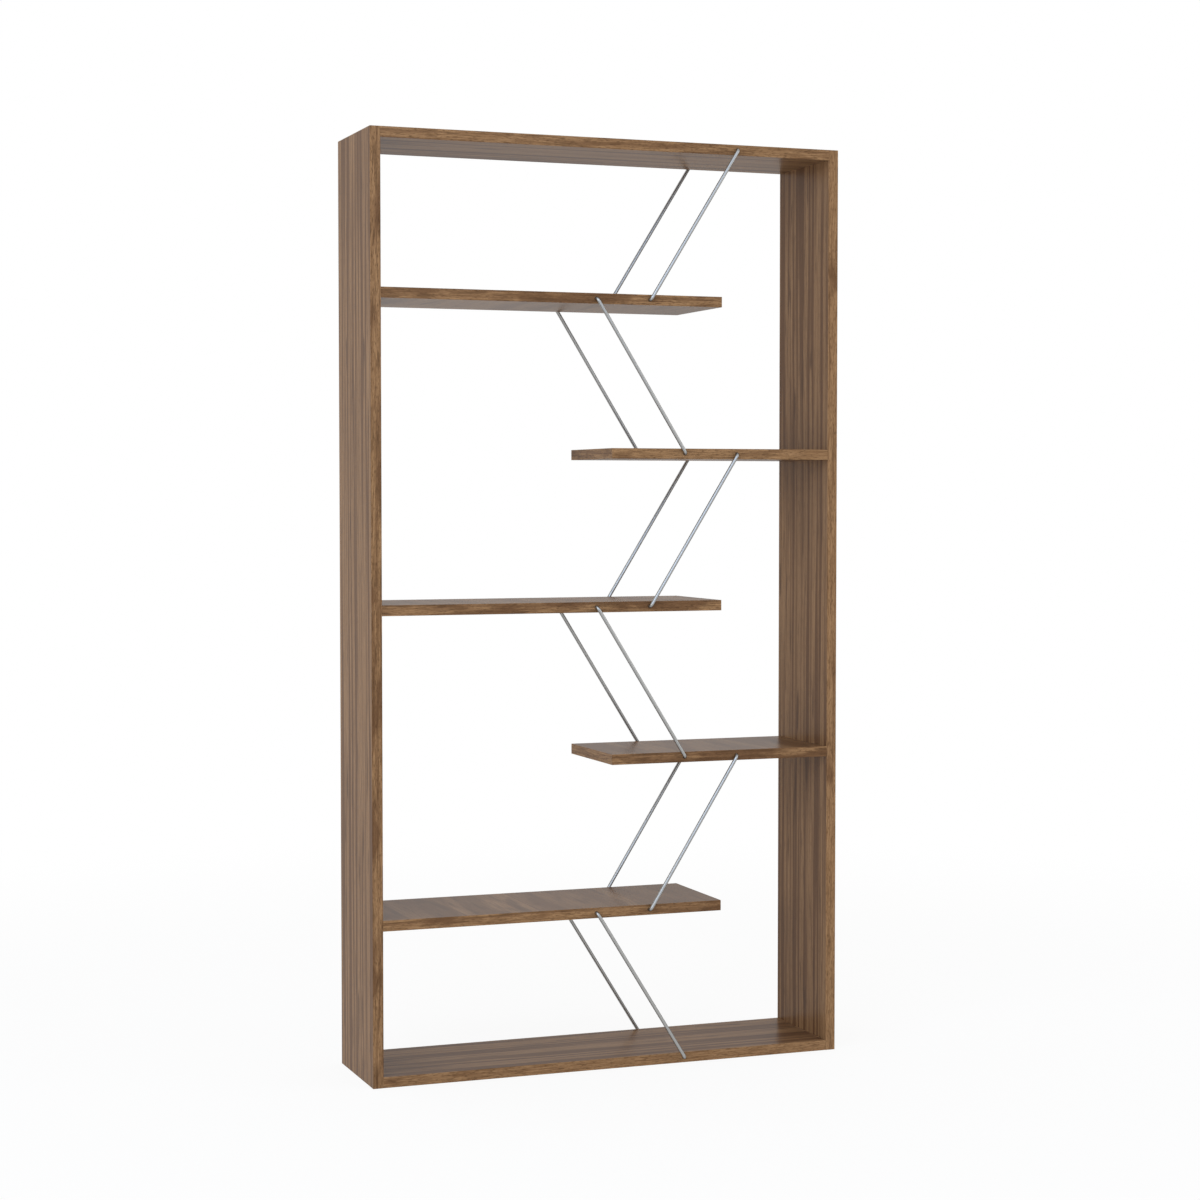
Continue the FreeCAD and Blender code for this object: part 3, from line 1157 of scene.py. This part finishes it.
@dataclass
class JointFittings:
    """The fastenings of the board joints: cams as their solids are, threaded bolts, fluted pegs.

    Lengths run from the upright's inner face, and a pair is where a part ends and its radius.
    """

    discs: str = "cam_discs"
    bolt_row_mm: float = 65.0
    bolt_sides: int = 24
    thread_mm: float = 11.0
    thread_radius_mm: float = 3.0
    thread_pitch_mm: float = 1.8
    thread_depth_mm: float = 0.75
    thread_runout_mm: float = 1.0
    rows_per_turn: int = 8
    tip_mm: float = 1.0
    step_mm: float = 0.02
    collar_mm: tuple[float, float] = (1.2, 3.8)
    shank_mm: tuple[float, float] = (26.3, 3.0)
    neck_mm: tuple[float, float] = (29.68, 2.3)
    head_mm: tuple[float, float] = (32.68, 3.5)
    head_chamfer_mm: float = 0.6
    peg_row_mm: float = 33.0
    peg_ends_mm: tuple[float, float] = (-11.0, 19.0)
    peg_radius_mm: float = 4.0
    peg_chamfer_mm: float = 1.0
    flutes: int = 18
    sides_per_flute: int = 4
    flute_depth_mm: float = 0.4
    overrun_mm: float = 1.0

    def bolt(self) -> TurnedFitting:
        """Lays out the bolt: thread in the upright, collar, shank, neck, and the head in the cam.

        Returns:
            The bolt.
        """
        rows = round(self.thread_mm / self.thread_pitch_mm * self.rows_per_turn)
        stations = []
        for row in range(rows + 1):
            along = -self.thread_mm + self.thread_mm * row / rows
            tip_cut = max(0.0, self.tip_mm - (along + self.thread_mm))
            stations.append((along, self.thread_radius_mm - tip_cut))
        for end, radius in (self.collar_mm, self.shank_mm, self.neck_mm):
            stations += [(stations[-1][0] + self.step_mm, radius), (end, radius)]
        end, radius = self.head_mm
        stations += [
            (stations[-1][0] + self.step_mm, radius),
            (end - self.head_chamfer_mm, radius),
            (end, radius - self.head_chamfer_mm),
        ]
        thread = Grooves(
            starts=1,
            turns_per_mm=1 / self.thread_pitch_mm,
            depth_mm=self.thread_depth_mm,
            from_mm=-self.thread_mm - self.overrun_mm,
            to_mm=-self.thread_runout_mm,
        )
        return TurnedFitting(
            node="cam_bolts",
            name="threaded_cam_bolts",
            slot="bolt_steel",
            row_mm=self.bolt_row_mm,
            stations_mm=stations,
            ring_sides=self.bolt_sides,
            grooves=thread,
        )

    def peg(self) -> TurnedFitting:
        """Lays out the peg: a round with chamfered ends and glue flutes along it.

        Returns:
            The peg.
        """
        start, end = self.peg_ends_mm
        radius, cut = self.peg_radius_mm, self.peg_chamfer_mm
        flutes = Grooves(
            starts=self.flutes,
            turns_per_mm=0.0,
            depth_mm=self.flute_depth_mm,
            from_mm=start - self.overrun_mm,
            to_mm=end + self.overrun_mm,
        )
        return TurnedFitting(
            node="wooden_dowels",
            name="fluted_dowels",
            slot="dowel_beech",
            row_mm=self.peg_row_mm,
            stations_mm=[
                (start, radius - cut),
                (start + cut, radius),
                (end - cut, radius),
                (end, radius - cut),
            ],
            ring_sides=self.sides_per_flute * self.flutes,
            grooves=flutes,
        )

    def build(self, nodes: dict[str, bpy.types.Object]) -> None:
        """Dresses the cams and builds the bolts and pegs in place of their solids.

        Args:
            nodes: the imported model's objects by name.
        """
        dress(nodes[self.discs], CAM_ZINC.material())
        log.info("%s: %s", self.discs, CAM_ZINC.name)
        tree = TurnedFitting.tree()
        for fitting, finish in ((self.bolt(), BOLT_STEEL), (self.peg(), TurnedBeech())):
            piece = fitting.build(tree, finish.material())
            log.info("%s: %d faces", piece.name, len(piece.data.polygons))


def background_rays(tree: bpy.types.NodeTree) -> Feed:
    """Tells the rays that show the background from those that carry light.

    Args:
        tree: the node tree.

    Returns:
        One for rays from the camera and for reflected and transmitted ones, else zero.
    """
    rays = add_node(tree, "ShaderNodeLightPath").outputs
    shown = rays["Is Camera Ray"]
    for kind in ("Is Glossy Ray", "Is Transmission Ray"):
        shown = add_node(tree, "ShaderNodeMath", {0: shown, 1: rays[kind]}, operation="MAXIMUM")
    return shown


@dataclass(frozen=True)
class PaleFloor:
    """Matt pale floor paint, with its distances in metres.

    To the eye: near white under the object's soft shadow, and plain white further off.
    """

    name: str = "pale_matt_floor"
    colour: str = "#F4F4F4"
    white_share: float = 0.9
    plain_from: float = 1.2
    plain_to: float = 3.0

    def material(self) -> bpy.types.Material:
        """Makes the finish.

        Returns:
            The material.
        """
        material, tree = new_material(self.name)
        place = add_node(tree, "ShaderNodeTexCoord").outputs["Object"]
        distance = add_node(tree, "ShaderNodeVectorMath", {0: place}, operation="LENGTH")
        far = add_node(
            tree,
            "ShaderNodeMapRange",
            {
                "Value": distance.outputs["Value"],
                "From Min": self.plain_from,
                "From Max": self.plain_to,
                "To Min": self.white_share,
            },
            interpolation_type="SMOOTHSTEP",
        )
        plain = add_node(
            tree, "ShaderNodeMath", {0: far, 1: background_rays(tree)}, operation="MULTIPLY"
        )
        matt = add_node(tree, "ShaderNodeBsdfDiffuse", {"Color": linear(self.colour)})
        white = add_node(tree, "ShaderNodeEmission", {"Strength": BACKDROP_LIGHT})
        mixed = add_node(tree, "ShaderNodeMixShader", {0: plain, 1: matt, 2: white})
        add_node(tree, "ShaderNodeOutputMaterial", {"Surface": mixed})
        return material


@dataclass(frozen=True)
class Softbox:
    """A square soft lamp: its place and width in metres, its colour and its power in watts.

    A card lights only what is glossy, as a pale board beside a camera shows in metal.
    """

    name: str
    place: Point
    width: float
    colour: str
    watts: float
    is_card: bool = False


@dataclass
class Studio:
    """A white studio, in metres: soft light from all round, a pale floor and the camera."""

    camera_place: Point = (-1.52307, -4.08007, 0.98617)
    camera_turn_deg: Point = (87.60446, 0.0, -20.67175)
    lens_mm: float = 74.8158
    sensor_mm: float = 36.0
    room_light: float = 0.76
    floor: PaleFloor = PaleFloor()
    floor_reach: float = 40.0
    floor_drop_mm: float = 0.2
    target: Point = (0.0, 0.0, 0.8)
    lamps: tuple[Softbox, ...] = (
        Softbox("key_softbox", (-3.8, -1.9, 1.4), 1.8, "#FFFFFF", 24.0),
        Softbox("fill_softbox", (3.65, -1.85, 2.0), 1.8, "#FFFFFF", 20.0),
        Softbox("high_softbox", (-2.7, -2.8, 3.5), 2.4, "#CFE4FF", 50.0),
        Softbox("sheen_card", (-0.75, -4.7, 2.65), 3.0, "#AECEFF", 60.0, is_card=True),
    )

    def light_room(self) -> None:
        """Lights the room evenly and shows it as white."""
        world = bpy.data.worlds.new("white_room")
        bpy.context.scene.world = world
        world.use_nodes = True
        tree = world.node_tree
        tree.nodes.clear()
        white = linear("#FFFFFF")
        light = add_node(
            tree, "ShaderNodeBackground", {"Color": white, "Strength": self.room_light}
        )
        shown = add_node(
            tree, "ShaderNodeBackground", {"Color": white, "Strength": BACKDROP_LIGHT}
        )
        mixed = add_node(
            tree, "ShaderNodeMixShader", {0: background_rays(tree), 1: light, 2: shown}
        )
        add_node(tree, "ShaderNodeOutputWorld", {"Surface": mixed})

    def lay_floor(self) -> None:
        """Lays the floor, which holds the object's shadow and fades into the backdrop."""
        mesh = bpy.data.meshes.new("studio_floor")
        reach, level = self.floor_reach, -self.floor_drop_mm * MM
        corners = [(-reach, -reach), (reach, -reach), (reach, reach), (-reach, reach)]
        mesh.from_pydata([(x, y, level) for x, y in corners], [], [(0, 1, 2, 3)])
        mesh.materials.append(self.floor.material())
        floor = bpy.data.objects.new("studio_floor", mesh)
        bpy.context.scene.collection.objects.link(floor)

    def hang_lamps(self) -> None:
        """Hangs the soft lamps, turned to the middle of the object."""
        for lamp in self.lamps:
            light = bpy.data.lights.new(lamp.name, "AREA")
            light.shape = "SQUARE"
            light.size = lamp.width
            light.color = linear(lamp.colour)[:3]
            light.energy = lamp.watts
            holder = bpy.data.objects.new(lamp.name, light)
            bpy.context.scene.collection.objects.link(holder)
            x, y, z = (aim - start for aim, start in zip(self.target, lamp.place))
            holder.location = lamp.place
            holder.visible_diffuse = not lamp.is_card
            holder.rotation_euler = (math.atan2(math.hypot(x, y), -z), 0.0, math.atan2(-x, y))

    def place_camera(self) -> None:
        """Places the camera at the photograph's point of view."""
        lens = bpy.data.cameras.new("camera")
        lens.lens = self.lens_mm
        lens.sensor_width = self.sensor_mm
        camera = bpy.data.objects.new("camera", lens)
        camera.location = self.camera_place
        camera.rotation_euler = [math.radians(angle) for angle in self.camera_turn_deg]
        bpy.context.scene.collection.objects.link(camera)
        bpy.context.scene.camera = camera

    def build(self) -> None:
        """Sets up the whole studio."""
        bpy.context.scene.view_settings.view_transform = "Standard"
        self.light_room()
        self.lay_floor()
        self.hang_lamps()
        self.place_camera()


def main() -> None:
    """Builds the bookshelf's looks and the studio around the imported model."""
    logging.basicConfig(level=logging.INFO, format="%(message)s")
    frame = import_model()
    Carcass().dress(frame["nodes"])
    EdgeBands().dress(frame["nodes"])
    ZigzagRods().build()
    JointFittings().build(frame["nodes"])
    Studio().build()


if __name__ == "__main__":
    main()
